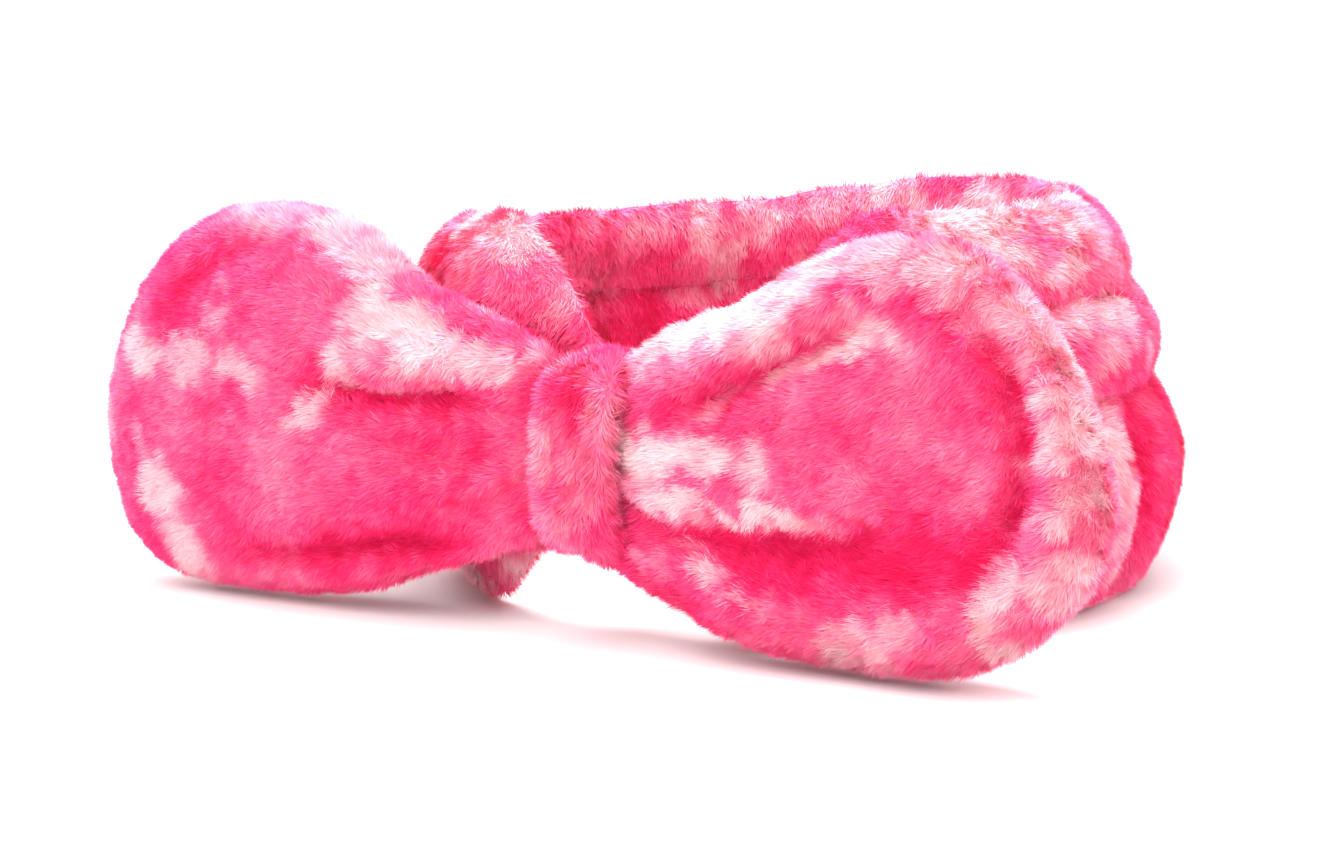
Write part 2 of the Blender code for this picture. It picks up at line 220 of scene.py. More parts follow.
BAND_INNER_SPOTS = (
    (95, 91, 34, 5, 0, 0.75), (234, 76, 5, 8, 0, 0.75), (228, 68, 4, 10, 0, 0.8), (221, 78, 5, 6, 0, 0.7),
    (236, 58, 5, 4, 0, 0.5), (192, 84, 9, 6, 0, 0.75), (208, 82, 8, 5, 0, 0.55), (250, 77, 6, 4, 0, 0.4),
    (262, 79, 6, 3, 0, 0.45), (178, 78, 5, 8, 0, 0.7), (168, 84, 8, 6, 0, 0.8), (186, 70, 5, 5, 0, 0.5),
    (214, 66, 5, 4, 0, 0.4),
)


def loop_dye_and_shade(loop, spots, painted_shade):
    """Chosen spots on a loop's face, random blotches on its back, and painted shade: deeper colour in and
    beside its creases.
    """
    def dye_and_shade(points, normals):
        across = points[:, 0] - KNOT_X
        front = ease(BOW_Y - points[:, 1], -3.0, 3.0)
        chosen = spots_value(points, across, spots)
        value = mix_dye(points, front * chosen + (1.0 - front) * random_patches(points, 41))
        # Painted shade on the face: the shade spots and the creases' valleys deepen the colour.
        painted_darkening = spots_value(points, across, painted_shade) + 0.3 * crease_painted_shade(loop, across, points[:, 2])
        return np.clip(value - front * painted_darkening, 0.0, 1.0)
    return dye_and_shade


def turn_of(points):
    """Degrees round the band from its front."""
    across = (points[:, 0] - RING_X) / RING_HALF_WIDTH
    along = (points[:, 1] - RING_Y) / RING_HALF_DEPTH
    return np.degrees(np.arctan2(across, -along)) % 360.0


def outward(points):
    """Unit vectors away from the band's axis."""
    across = (points[:, 0] - RING_X) / RING_HALF_WIDTH**2
    along = (points[:, 1] - RING_Y) / RING_HALF_DEPTH**2
    return unit(places(across, along, 0.0))


def band_dye_and_shade(points, normals):
    turn = turn_of(points)
    outside = dot(normals, outward(points)) > 0.0
    outer, inner = (spots_value(points, turn, spots) for spots in (BAND_OUTER_SPOTS, BAND_INNER_SPOTS))
    light = np.where(outside, outer, inner)
    unseen = np.where(
        outside,
        hill(turn, 108.0, 125.0, 300.0, 318.0),
        1.0 - hill(turn, 145.0, 165.0, 275.0, 290.0),
    )
    light = np.maximum(light, unseen * random_patches(points, 43))
    # Painted shade: the outer face's shade spots deepen its colour where shade falls.
    shaded = spots_value(points, turn, BAND_OUTER_PAINTED_SHADE)
    # Painted shade: the inner face is deepened toward its foot, where the inside of the ring lies in shade.
    inner_painted_shade = 0.28 * (1.0 - ease(points[:, 2], 48.0, 66.0))
    painted_darkening = np.where(outside, shaded, inner_painted_shade)
    return np.clip(mix_dye(points, light) - painted_darkening, 0.0, 1.0)


KNOT_SPOTS = (
    (-3, 60, 9, 3, 0, 0.4), (11, 50, 4, 7, 0, 0.25), (-5, 27, 7, 6, 0, 0.4), (-4, 44, 3, 8, 0, 0.35),
    (7, 30, 4, 6, 0, 0.3),
)
# Painted shade on the knot's front, in the same form: deeper colour down the valley between its folds.
KNOT_PAINTED_SHADE = ((3, 54, 4, 9, 15, 0.3), (1, 40, 2, 8, 0, 0.15))


def knot_dye_and_shade(points, normals):
    across = points[:, 0] - KNOT_X
    chosen = spots_value(points, across, KNOT_SPOTS)
    behind = ease(points[:, 1] - BOW_Y, 0.0, 8.0)
    value = mix_dye(points, (1.0 - behind) * chosen + behind * random_patches(points, 47))
    # Painted shade: the valley down the knot's front is deepened.
    painted_darkening = spots_value(points, across, KNOT_PAINTED_SHADE)
    return np.clip(value - (1.0 - behind) * painted_darkening, 0.0, 1.0)


# ---- materials ----


def set_inputs(node, values):
    for name, value in values.items():
        node.inputs[name].default_value = value


def new_node(tree, kind, values):
    node = tree.nodes.new("ShaderNode" + kind)
    set_inputs(node, values)
    return node


def new_material(name, roughness, sheen=0.0):
    made = bpy.data.materials.new(name)
    made.use_nodes = True
    shader = made.node_tree.nodes["Principled BSDF"]
    values = {"Sheen Weight": sheen, "Sheen Roughness": 0.45, "Specular IOR Level": 0.25}
    set_inputs(shader, {"Roughness": roughness, **values})
    return made, made.node_tree, shader


def raise_surface(tree, shader, texture, values):
    """Lets a texture raise the surface; its distance is in metres."""
    bump = new_node(tree, "Bump", values)
    tree.links.new(texture.outputs["Fac"], bump.inputs["Height"])
    tree.links.new(bump.outputs["Normal"], shader.inputs["Normal"])


def plush_skin_material():
    """The knitted ground under the pile: its dye with painted shade, fine mottling and a matted bump."""
    made, tree, shader = new_material("plush_ground", 0.9, 0.3)
    dye_and_shade = new_node(tree, "Attribute", {})
    dye_and_shade.attribute_name = "dye_and_shade"
    fibres = new_node(tree, "TexNoise", {"Scale": 900.0, "Detail": 4.0})
    place = new_node(tree, "TexCoord", {})
    shade = new_node(tree, "MapRange", {"To Min": 0.62, "To Max": 1.0})
    tint = new_node(tree, "Mix", {"Factor": 1.0})
    tint.data_type = "RGBA"
    tint.blend_type = "MULTIPLY"
    link = tree.links.new
    link(place.outputs["Object"], fibres.inputs["Vector"])
    link(fibres.outputs["Fac"], shade.inputs["Value"])
    link(dye_and_shade.outputs["Color"], tint.inputs[6])
    link(shade.outputs["Result"], tint.inputs[7])
    link(tint.outputs[2], shader.inputs["Base Color"])
    raise_surface(tree, shader, fibres, {"Strength": 0.5, "Distance": 0.0006})
    return made


PILE_SHADES = 12


def pile_materials():
    """One fibre material for each step of the dye."""
    made = []
    for k in range(PILE_SHADES):
        value = k / (PILE_SHADES - 1)
        item, _, shader = new_material(f"pile_shade_{k:02d}", 0.75, 0.08)
        set_inputs(shader, {"Base Color": (*dye_colour(value), 1.0), "Sheen Tint": (1.0, 0.78, 0.8, 1.0)})
        made.append(item)
    return made


def tint_surface(tree, shader, texture, dark, light):
    """Lets a texture mix two tints."""
    ramp = new_node(tree, "ValToRGB", {})
    for stop, tint in zip(ramp.color_ramp.elements, (dark, light)):
        stop.color = (*tint, 1.0)
    tree.links.new(texture.outputs["Fac"], ramp.inputs["Fac"])
    tree.links.new(ramp.outputs["Color"], shader.inputs["Base Color"])


def woven_material():
    """Flat elastic: ribs across the strip, worked out from its place."""
    made, tree, shader = new_material("woven_elastic", 0.7)
    place = new_node(tree, "TexCoord", {})
    ribs = new_node(tree, "TexWave", {"Scale": 260.0, "Distortion": 0.4})
    ribs.bands_direction = "Z"
    tree.links.new(place.outputs["Object"], ribs.inputs["Vector"])
    tint_surface(tree, shader, ribs, linear(206, 202, 198), linear(240, 238, 234))
    raise_surface(tree, shader, ribs, {"Distance": 0.0004})
    return made


def fibre_material(name, dark, light, scale):
    """Spun thread or loose padding: a fine noise between two tints."""
    made, tree, shader = new_material(name, 0.65, 0.2)
    grain = new_node(tree, "TexNoise", {"Scale": scale, "Detail": 3.0})
    tint_surface(tree, shader, grain, dark, light)
    raise_surface(tree, shader, grain, {"Distance": 0.0003})
    return made


# ---- meshes ----


def add_object(name, data):
    made = bpy.data.objects.new(name, data)
    bpy.context.scene.collection.objects.link(made)
    return made


def add_mesh(name, points, faces, material):
    """A smooth mesh object from points in millimetres."""
    mesh = bpy.data.meshes.new(name)
    mesh.from_pydata((points * MM).tolist(), [], faces)
    mesh.materials.append(material)
    mesh.shade_smooth()
    return add_object(name, mesh)


def pairs(a, b):
    """Every pair of two lists' values, as two flat arrays."""
    return (grid.ravel() for grid in np.meshgrid(a, b, indexing="ij"))


def grid_faces(rows, columns, wrap_rows, wrap_columns):
    """Quads of a grid whose point (r, c) has number r * columns + c, as lists."""
    r = np.arange(rows if wrap_rows else rows - 1)
    c = np.arange(columns if wrap_columns else columns - 1)
    r, c = pairs(r, c)
    r2, c2 = (r + 1) % rows, (c + 1) % columns
    quads = (r * columns + c, r * columns + c2, r2 * columns + c2, r2 * columns + c)
    return np.stack(quads, axis=1).tolist()


def read_points(mesh):
    flat = np.zeros(len(mesh.vertices) * 3, np.float32)
    mesh.vertices.foreach_get("co", flat)
    return flat.reshape(-1, 3).astype(float) / MM


def write_points(mesh, points):
    mesh.vertices.foreach_set("co", (points * MM).astype(np.float32).ravel())
    mesh.update()


def mesh_arrays(item):
    """Points (millimetres), triangles and vertex normals of a mesh object."""
    mesh = item.data
    points = read_points(mesh)
    mesh.calc_loop_triangles()
    triangles = np.zeros(len(mesh.loop_triangles) * 3, np.int32)
    mesh.loop_triangles.foreach_get("vertices", triangles)
    triangles = triangles.reshape(-1, 3)
    edge_a = points[triangles[:, 1]] - points[triangles[:, 0]]
    edge_b = points[triangles[:, 2]] - points[triangles[:, 0]]
    across = np.cross(edge_a, edge_b)
    normals = np.zeros_like(points)
    for k in range(3):
        np.add.at(normals, triangles[:, k], across)
    return points, triangles, unit(normals)


# The knitted ground is painted a little deeper than the pile's tips: painted shade down among the fibres.
GROUND_SHADE_SHARE = 0.9


def paint_dye_and_shade(item, dye_and_shade):
    """Stores the colour of the dye and its painted shade at each point of a skin."""
    points, _, normals = mesh_arrays(item)
    colours = np.ones((len(points), 4), np.float32)
    # Painted shade: the ground's colour is deepened, as the shade down among the fibres.
    colours[:, :3] = dye_colour(dye_and_shade(points, normals) * GROUND_SHADE_SHARE)
    layer = item.data.color_attributes.new("dye_and_shade", "FLOAT_COLOR", "POINT")
    layer.data.foreach_set("color", colours.ravel())


# ---- pile ----

# Length and width of a fibre, its lean off the surface's normal in degrees, and the size of a tuft.
PILE_LENGTH = 2.4
PILE_WIDTH = 0.27
PILE_LEAN = 54.0
CLUMP = 1.7
# How much wide swirls, tufts and each fibre itself turn the fibres off the flow.
SWIRL = 0.55
TUFT = 0.85
STRAY = 0.16
# How far the dye bleeds from fibre to fibre, at random and along the nap.
BLEED = 0.45
NAP_BLEED = 1.6
ROOT_DEPTH = 0.3
FLOOR_GAP = 0.2


def scatter(points, triangles, normals, density, random):
    """Evenly spread places on the surface: position and normal of each fibre's root."""
    corners = points[triangles]
    across = np.cross(corners[:, 1] - corners[:, 0], corners[:, 2] - corners[:, 0])
    running = np.cumsum(np.linalg.norm(across, axis=1) / 2)
    count = int(running[-1] * density)
    pick = (np.arange(count) + random.random(count)) / count * running[-1]
    face = np.minimum(np.searchsorted(running, pick), len(triangles) - 1)
    a, b = random.random(count), random.random(count)
    fold = a + b > 1.0
    a, b = np.where(fold, 1.0 - a, a), np.where(fold, 1.0 - b, b)
    weights = np.stack([1.0 - a - b, a, b], axis=1)[:, :, None]
    roots = (corners[face] * weights).sum(axis=1)
    root_normals = unit((normals[triangles[face]] * weights).sum(axis=1))
    return roots, root_normals


def fibre_directions(roots, normals, flow, lean, random):
    """Each fibre leans along the flow, turned together in tufts and a little on its own."""
    along = flow(roots, normals)
    swirl = np.stack([noise(roots, CLUMP * 5, 11 + k) for k in range(3)], axis=1)
    tuft = np.stack([noise(roots, CLUMP, 21 + k) for k in range(3)], axis=1)
    stray = random.normal(size=roots.shape)
    along = along + SWIRL * swirl + TUFT * tuft + STRAY * stray
    along = unit(along - normals * dot(along, normals)[:, None])
    lean = lean + 11.0 * noise(roots, CLUMP * 1.4, 27) + random.normal(0.0, 5.0, len(roots))
    return along, np.radians(np.clip(lean, 35.0, 80.0))[:, None]


def fibre_mesh(name, roots, normals, along, lean, size, shades, materials):
    """Fibres as fine tapering blades, each one long triangle."""
    count = len(roots)
    side = np.cross(along, normals)
    direction = normals * np.cos(lean) + along * np.sin(lean)
    length, width = size[:, 0:1], size[:, 1:2]
    half = side * width / 2
    sunk = roots - normals * ROOT_DEPTH
    corners = np.stack([sunk - half, sunk + half, roots + direction * length], axis=1)
    corners[:, :, 2] = np.maximum(corners[:, :, 2], FLOOR_GAP)
    mesh = bpy.data.meshes.new(name)
    mesh.vertices.add(count * 3)
    mesh.vertices.foreach_set("co", (corners * MM).astype(np.float32).ravel())
    mesh.loops.add(count * 3)
    mesh.loops.foreach_set("vertex_index", np.arange(count * 3, dtype=np.int32))
    mesh.polygons.add(count)
    mesh.polygons.foreach_set("loop_start", np.arange(count, dtype=np.int32) * 3)
    mesh.polygons.foreach_set("material_index", shades.astype(np.int32))
    mesh.update(calc_edges=True)
    mesh.shade_smooth()
    for item in materials:
        mesh.materials.append(item)
    return add_object(name, mesh)


def grow_pile(name, skin, dye_and_shade, flow, density, materials, parts=1, length=PILE_LENGTH, lean=PILE_LEAN):
    """Covers a skin with fibres, as one or more pieces."""
    random = np.random.default_rng(SEED + len(name))
    points, triangles, normals = mesh_arrays(skin)
    roots, root_normals = scatter(points, triangles, normals, density, random)
    along, lean = fibre_directions(roots, root_normals, flow, lean, random)
    count = len(roots)
    size = np.stack([
        length * (1.0 + 0.15 * noise(roots, CLUMP, 33) + random.normal(0.0, 0.16, count)),
        PILE_WIDTH * random.uniform(0.75, 1.25, count),
    ], axis=1)
    bled = roots + random.normal(0.0, BLEED, (count, 3)) - along * random.uniform(0.0, NAP_BLEED, (count, 1))
    value = dye_and_shade(bled, root_normals)
    value = value + 0.09 * noise(roots, 1.5, 37) + random.normal(0.0, 0.06, count)
    steps = value * (PILE_SHADES - 1) + random.random(count) - 0.5
    shades = np.clip(np.round(steps), 0, PILE_SHADES - 1)
    fields = (roots, root_normals, along, lean, size, shades)
    made = []
    for k, chosen in enumerate(np.array_split(np.arange(count), parts)):
        label = name if parts == 1 else f"{name}_{k + 1}"
        made.append(fibre_mesh(label, *(field[chosen] for field in fields), materials))
    return made


# ---- band ----

LOWER_ROW = 48.0
UPPER_ROW = 70.0
ELASTIC_LOW = 51.0
ELASTIC_HIGH = 67.0
ROWS = (0.0, LOWER_ROW, UPPER_ROW, BAND_TOP)
OUTER_BULGE = (6.6, 4.2, 4.4)
INNER_BULGE = (4.8, 3.0, 3.0)
GROOVE = 0.5
# How far the section leans out at each height: all round, more on the +X side, and more in the puff.
LEAN_HEIGHTS = (0.0, 14.0, 30.0, 48.0, 60.0, 70.0, 81.0, BAND_TOP)
LEANS = (1.5, 3.2, 3.2, 0.4, 0.0, -2.0, -5.0, -8.0)
RIGHT_LEANS = (0.0, 0.6, 2.4, 2.2, 0.8, -0.8, -3.4, -6.4)
PUFF_LEANS = (0.0, 0.0, 1.0, 3.5, 7.0, 9.8, 12.2, 9.5)
# Where parts of the band start, are whole, begin to end and end: degrees from the front.
RIGHT_SIDE = (40.0, 75.0, 140.0, 175.0)
PUFF = (-80.0, -52.0, -16.0, -4.0)
PUFF_DIP = (-75.0, -56.0, -42.0, -26.0)
PUFF_BULGE = 5.4
# Under the knot: the band's share of its thickness, its top and how far its foot is drawn up.
SQUEEZE = 0.36
KNOT_LEVEL = 56.5
KNOT_DRAW = 20.0
TOP_INSET = 2.1
FLOOR_LIFT = 1.2
BAND_TURNS = 320
LOBE_STEPS = (22, 14, 14)
# Deep folds of the lower lobe: degrees from the front and depth.
LOWER_FOLDS = (
    (34, 2.0), (62, 2.4), (91, 6.5), (127, 3.0), (158, 2.6), (186, 3.0), (214, 2.4), (243, 3.2),
    (272, 2.4), (301, 3.0), (329, 2.2),
)
FOLD_WIDTH = 3.8


def signed_turn(turn):
    """Degrees from the front, from -180 to 180."""
    return (turn + 180.0) % 360.0 - 180.0


def top_gather(turn):
    """0 in the knot and 1 where the band's top edge has its full height."""
    side = signed_turn(turn)
    left = np.clip((-3.4 - side) / 16.6, 0.0, 1.0) ** 0.75
    return np.where(side < 0.0, left, ease(side, 9.0, 46.0))


def bottom_gather(turn):
    """0 in the knot and 1 where the band's foot is at its lowest."""
    return ease(np.abs(signed_turn(turn)), 8.0, 32.0)


def fullness(turn):
    """How thick the band is round its turn: the knot squeezes it."""
    return SQUEEZE + (1.0 - SQUEEZE) * ease(np.abs(signed_turn(turn)), 7.0, 22.0)


def puff_share(turn):
    """1 in the smooth puff that stands beside the knot on its -X side."""
    return hill(signed_turn(turn), *PUFF)


def sag(turn):
    """How far the upper lobes sink toward the lower one on the band's unseen side."""
    return 8.0 * hill(turn, 170.0, 238.0, 284.0, 312.0)


def band_level(turn, height):
    """The real height of a point of the band's section."""
    drop = sag(turn)
    level = np.where(height < LOWER_ROW, height * (LOWER_ROW - drop) / LOWER_ROW, height - drop)
    full = BAND_TOP - drop
    low = FLOOR_LIFT + KNOT_DRAW * (1.0 - bottom_gather(turn))
    inset = TOP_INSET + 1.7 * puff_share(turn) + 2.6 * hill(signed_turn(turn), *PUFF_DIP)
    high = KNOT_LEVEL + (full - inset - KNOT_LEVEL) * top_gather(turn)
    return low + (high - low) * level / full


def fold_depth(turn):
    depth = np.zeros(len(turn))
    for place, amount in LOWER_FOLDS:
        away = signed_turn(turn - place)
        depth += amount * np.exp(-((away / FOLD_WIDTH) ** 2))
    return depth


def gathers(turn, height, seed):
    """Small puckers that the stitch rows draw up, and the larger folds they run into."""
    around = RING_HALF_WIDTH * places(np.cos(np.radians(turn)), np.sin(np.radians(turn)), 0.0)
    tight = noise(around, 5.5, seed) + 0.5 * noise(around, 3.2, seed + 1)
    loose = noise(around, 13.0, seed + 2)
    near = np.minimum(np.abs(height - LOWER_ROW), np.abs(height - UPPER_ROW))
    edge = np.minimum(height, BAND_TOP - height)
    return (1.5 * tight * np.exp(-near / 7.0) + 1.3 * loose) * ease(edge, 0.0, 6.0)


def band_offset(turn, height, outside):
    """Distance outside the middle ellipse; outside is 1 for the outer face and -1 for the inner."""
    bulges = OUTER_BULGE if outside > 0 else INNER_BULGE
    thickness = np.zeros(len(turn))
    for low, high, bulge in zip(ROWS, ROWS[1:], bulges):
        inside = (height >= low) & (height <= high)
        part = np.clip((height - low) / (high - low), 0.0, 1.0)
        thickness = np.where(inside, bulge * np.sin(np.pi * part) ** 0.6, thickness)
    edge = np.minimum(height, BAND_TOP - height)
    thickness += GROOVE * ease(edge, 0.0, 4.0)
    if outside > 0:
        part = np.clip((height - LOWER_ROW) / (BAND_TOP - LOWER_ROW), 0.0, 1.0)
        puffed = PUFF_BULGE * np.sin(np.pi * part) ** 0.5 * (height > LOWER_ROW)
        thickness += (np.maximum(thickness, puffed) - thickness) * puff_share(turn)
    lower = ease(LOWER_ROW - height, -3.0, 14.0) * ease(height, 0.0, 5.0)
    folded = fold_depth(turn) * lower * (1.0 if outside > 0 else 0.6)
    lean = np.interp(height, LEAN_HEIGHTS, LEANS)
    lean = lean + np.interp(height, LEAN_HEIGHTS, RIGHT_LEANS) * hill(turn, *RIGHT_SIDE)
    lean = lean + np.interp(height, LEAN_HEIGHTS, PUFF_LEANS) * puff_share(turn)
    puckers = gathers(turn, height, 51 if outside > 0 else 55)
    body = np.maximum(thickness + puckers - folded, 0.25 * np.minimum(edge, 2.0))
    return lean * (fullness(turn) - SQUEEZE) / (1.0 - SQUEEZE) + outside * body * fullness(turn)


def band_points(turn, height, outside):
    offset = band_offset(turn, height, outside)
    angle = np.radians(turn)
    across = unit(np.stack([np.sin(angle) / RING_HALF_WIDTH, -np.cos(angle) / RING_HALF_DEPTH], axis=1))
    x = RING_X + RING_HALF_WIDTH * np.sin(angle) + across[:, 0] * offset
    y = RING_Y - RING_HALF_DEPTH * np.cos(angle) + across[:, 1] * offset
    z = band_level(turn, height)
    edge = ease(height, BAND_TOP - 16.0, BAND_TOP)
    return places(x, y, z + 0.9 * edge * noise(places(x, y, 0.0), 11.0, 61))


def lobe_heights():
    """Heights up the section, closer together at each lobe's ends."""
    heights = [0.0]
    for low, high, steps in zip(ROWS, ROWS[1:], LOBE_STEPS):
        part = (1.0 - np.cos(np.pi * np.arange(1, steps + 1) / steps)) / 2
        heights.extend(low + (high - low) * part)
    return np.array(heights)


def build_band_skin(material):
    turns = np.arange(BAND_TURNS) * 360.0 / BAND_TURNS
    heights = lobe_heights()
    up = np.concatenate([heights, heights[-2:0:-1]])
    outer = np.arange(len(up)) < len(heights)
    grid_turn, grid_up = pairs(turns, up)
    outside = np.tile(outer, len(turns))[:, None]
    points = np.where(outside, band_points(grid_turn, grid_up, 1), band_points(grid_turn, grid_up, -1))
    faces = [face[::-1] for face in grid_faces(BAND_TURNS, len(up), True, True)]
    return add_mesh("band_plush", points, faces, material)


def band_flow(points, normals):
    """The pile is brushed down both faces of the band and parts along its top edge."""
    around = np.cross(outward(points), (0.0, 0.0, 1.0))
    drift = noise(points, 24.0, 81)[:, None]
    return np.array((0.0, 0.0, -1.0)) + around * (0.5 * drift - 0.15)


# ---- bow loops ----

LOOP_TURNS = 132
LOOP_RINGS = 40
# How far a loop's faces stand off the bow's plane, and how they thin toward the knot: the share left
# there, and the distances from the knot where it starts to grow and is whole.
LOOP_FRONT = 15.5
LOOP_BACK = 12.5
FRONT_NECK = (0.6, 16.0, 46.0)
BACK_NECK = (0.5, 34.0, 70.0)
# The cloth's grain, how long it swells and the farthest that a point may move.
CLOTH_VOXEL = 3.2
CLOTH_FRAMES = 20
CLOTH_CAP = 5.0
CLOTH_SETTINGS = {
    "quality": 6, "mass": 0.2, "tension_stiffness": 8.0, "compression_stiffness": 8.0,
    "bending_stiffness": 0.4, "use_pressure": True, "uniform_pressure_force": 4.0,
    "vertex_group_mass": "held",
}


class Loop:
    """One side of the bow: its outline from the frame, and where its creases run.

    Millimetres: dip sinks the middle, neck runs on into the knot, inset draws in the rim and trim its
    far end, and ripple waves it.
    """

    def __init__(self, side, centre, creases, dip, neck, inset, trim, ripple):
        self.side, self.creases = side, creases
        self.centre = np.array(centre, float)
        self.dip, self.neck, self.inset, self.trim, self.ripple = dip, neck, inset, trim, ripple
        self.sign = -1.0 if side == "left" else 1.0
        self.turns, self.reach = self.outline()

    def outline(self):
        """The seam's distance from the centre at each angle."""
        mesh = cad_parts[f"{self.side}_loop_edge_seam"].data
        points = np.array([v.co for v in mesh.vertices]) / MM
        rim = points[np.abs(points[:, 1] - BOW_Y) < 0.1]
        flat = np.unique(np.round(rim[:, (0, 2)] - (KNOT_X, 0.0) - self.centre, 2), axis=0)
        angle = np.arctan2(flat[:, 1], flat[:, 0])
        order = np.argsort(angle)
        angle, reach = angle[order], np.hypot(flat[:, 0], flat[:, 1])[order] / 0.975
        fine = np.linspace(-math.pi, math.pi, 721)
        rough = np.interp(fine, angle, reach, period=math.tau)
        kernel = np.hanning(25)
        padded = np.concatenate([rough[-13:-1], rough, rough[1:13]])
        far_end = np.maximum(0.0, self.sign * np.cos(fine)) ** 6
        return fine, np.convolve(padded, kernel / kernel.sum(), "valid") - self.inset - self.trim * far_end

    def reach_at(self, angle):
        return np.interp(angle, self.turns, self.reach, period=math.tau)

    def position(self, angle, scale):
        """A point inside the outline; the neck runs on into the knot."""
        reach = self.reach_at(angle) * scale
        x = self.centre[0] + np.cos(angle) * reach
        z = self.centre[1] + np.sin(angle) * reach
        return x - self.sign * self.neck * (1.0 - ease(np.abs(x), 14.0, 44.0)), z

    def scale_at(self, x, z):
        """0 at the centre of the face and 1 at its rim."""
        dx, dz = x - self.centre[0], z - self.centre[1]
        return np.hypot(dx, dz) / self.reach_at(np.arctan2(dz, dx))


def crease_shape(x, z, crease):
    """How deep in a crease each point is, and how far up on its lip, both from 0 to 1."""
    path, _, width, _ = crease
    path = np.array(path, float)
    best = np.full(len(x), 1e9)
    side = np.zeros(len(x))
    place = np.zeros(len(x))
    for k, (start, end) in enumerate(zip(path, path[1:])):
        run = end - start
        dx, dz = x - start[0], z - start[1]
        t = np.clip((dx * run[0] + dz * run[1]) / (run @ run), 0.0, 1.0)
        away = np.hypot(dx - t * run[0], dz - t * run[1])
        closer = away < best
        best = np.where(closer, away, best)
        side = np.where(closer, np.sign(run[0] * dz - run[1] * dx), side)
        place = np.where(closer, (k + t) / (len(path) - 1), place)
    taper = hill(place, -0.05, 0.35, 0.7, 1.05)
    valley = np.exp(-((best / width) ** 2))
    raised = np.exp(-(((best * side - 2.0 * width) / (1.4 * width)) ** 2))
    return valley * taper, raised * taper


def crease_painted_shade(loop, x, z):
    # Painted shade: each crease's valley deepens the colour, more for the deeper creases.
    painted_shade = np.zeros(len(x))
    for crease in loop.creases:
        valley, _ = crease_shape(x, z, crease)
        painted_shade = np.maximum(painted_shade, valley * min(1.0, crease[1] / 5.0))
    return painted_shade


def loop_neck(x, pinched, start, end):
    return pinched + (1.0 - pinched) * ease(np.abs(x), start, end)


def build_loop_skin(loop, material):
    """The loop as one closed pillow: rings from the centre of the face, over the rim, to the back."""
    angles = np.arange(LOOP_TURNS) * math.tau / LOOP_TURNS - math.pi
    scales = np.sin(np.arange(1, LOOP_RINGS + 1) / LOOP_RINGS * math.pi / 2)
    rings = [(s, -1.0) for s in scales] + [(s, 1.0) for s in scales[-2::-1]]
    rows = [loop_place(loop, angles, scale, face) for scale, face in rings]
    rows += [loop_place(loop, np.zeros(1), 0.0, face) for face in (-1.0, 1.0)]
    points = np.concatenate(rows)
    faces = grid_faces(len(rings), LOOP_TURNS, False, True)
    last, count = (len(rings) - 1) * LOOP_TURNS, len(points)
    for k in range(LOOP_TURNS):
        after = (k + 1) % LOOP_TURNS
        faces.append((k, count - 2, after))
        faces.append((last + k, last + after, count - 1))
    return add_mesh(f"{loop.side}_loop_plush", points, faces, material)


def loop_place(loop, angles, scale, face):
    """Points of the plain pillow before the bow's plane (face -1) or behind it (face 1)."""
    x, z = loop.position(angles, scale)
    crown = math.sqrt(max(0.0, 1.0 - scale**3))
    if face < 0.0:
        depth = LOOP_FRONT * crown * loop_neck(x, *FRONT_NECK)
    else:
        depth = LOOP_BACK * crown * loop_neck(x, *BACK_NECK)
    return places(KNOT_X + x, BOW_Y + face * depth, z)


def keep_result(item):
    """Makes what the modifiers show the piece's own mesh."""
    graph = bpy.context.evaluated_depsgraph_get()
    made = bpy.data.meshes.new_from_object(item.evaluated_get(graph))
    old = item.data
    item.modifiers.clear()
    item.data = made
    bpy.data.meshes.remove(old)


def inflate(item, held):
    """Swells a closed skin as its padding does, by cloth simulation, and keeps the result."""
    even = item.modifiers.new("even", "REMESH")
    even.mode = "VOXEL"
    even.voxel_size = CLOTH_VOXEL * MM
    keep_result(item)
    rest = read_points(item.data)
    group = item.vertex_groups.new(name="held")
    for k, weight in enumerate(held(rest)):
        group.add([k], float(weight), "REPLACE")
    cloth = item.modifiers.new("swell", "CLOTH")
    for name, value in CLOTH_SETTINGS.items():
        setattr(cloth.settings, name, value)
    cloth.settings.effector_weights.gravity = 0.0
    for step in range(1, CLOTH_FRAMES + 1):
        bpy.context.scene.frame_set(step)
    graph = bpy.context.evaluated_depsgraph_get()
    moved = read_points(item.evaluated_get(graph).data) - rest
    length = np.maximum(np.linalg.norm(moved, axis=1, keepdims=True), 1e-6)
    item.modifiers.clear()
    item.vertex_groups.clear()
    bpy.context.scene.frame_set(1)
    write_points(item.data, rest + moved * CLOTH_CAP * np.tanh(length / CLOTH_CAP) / length)
    smoother = item.modifiers.new("smoother", "SUBSURF")
    smoother.levels = smoother.render_levels = 1
    keep_result(item)
    item.data.shade_smooth()


